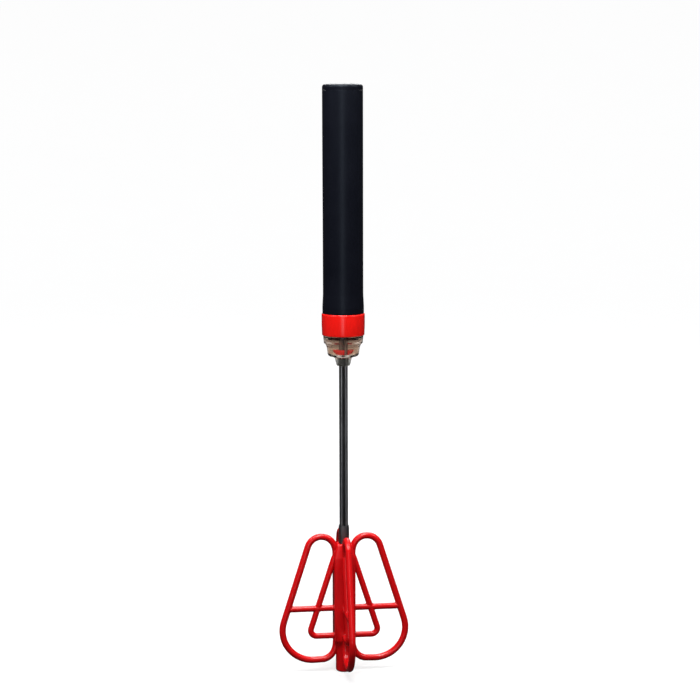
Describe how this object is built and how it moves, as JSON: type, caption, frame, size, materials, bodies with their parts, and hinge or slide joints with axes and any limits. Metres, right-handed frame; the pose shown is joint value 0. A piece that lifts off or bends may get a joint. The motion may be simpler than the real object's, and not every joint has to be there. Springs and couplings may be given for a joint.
{
  "type": "push whisk",
  "caption": "Hand push whisk: pressing the cylindrical handle down drives a screw that spins a lobed plastic head, and a spring returns it.",
  "frame": {"origin": "centre of the foot's flat underside, on the shaft's axis", "axes": "+Z along the shaft from the head to the handle; X and Y along the two pairs of lobes"},
  "size_m": [0.076, 0.076, 0.34],
  "materials": {
    "black_satin_plastic": "satin, very fine moulded texture",
    "red_gloss_plastic": "glossy moulded",
    "smoked_clear_plastic": "smoky, see-through, polished",
    "natural_nylon": "natural, unpainted",
    "black_rubber": "matt",
    "dark_steel": "dark drawn wire",
    "spring_steel": "drawn wire"
  },
  "bodies": {
    "handle": {"grip_tube": "black_satin_plastic", "end_cap": "black_satin_plastic", "upper_spring_seat": "natural_nylon", "rifled_sleeve": "natural_nylon", "bump_ring": "black_rubber", "collar_ring": "red_gloss_plastic", "nose_cone": "smoked_clear_plastic", "guide_bush": "red_gloss_plastic", "return_spring": "spring_steel"},
    "carrier": {"thrust_washer": "spring_steel"},
    "whisk": {"follower": "natural_nylon", "wire_crimp": "dark_steel", "shaft_wire_1": "dark_steel", "shaft_wire_2": "dark_steel", "shaft_wire_3": "dark_steel", "shaft_wire_4": "dark_steel", "shaft_ferrule": "dark_steel", "hub": "red_gloss_plastic", "foot_plug": "red_gloss_plastic", "lobe_1": "red_gloss_plastic", "lobe_2": "red_gloss_plastic", "lobe_3": "red_gloss_plastic", "lobe_4": "red_gloss_plastic"}
  },
  "joints": [
    {"name": "push_stroke", "type": "slide", "parent": "handle", "child": "carrier", "axis": [0, 0, 1], "range_m": [0, 0.07], "stiffness_N_per_m": 100, "springref_m": -0.02, "deforming": ["return_spring"]},
    {"name": "whisk_spin", "type": "hinge", "parent": "carrier", "child": "whisk", "pos_m": [0, 0, 0.2181], "axis": [0, 0, 1], "range_deg": [0, 504.2]}
  ],
  "couplings": [
    {"joint": "whisk_spin", "follows": "push_stroke", "rad_per_m": 125.66}
  ]
}
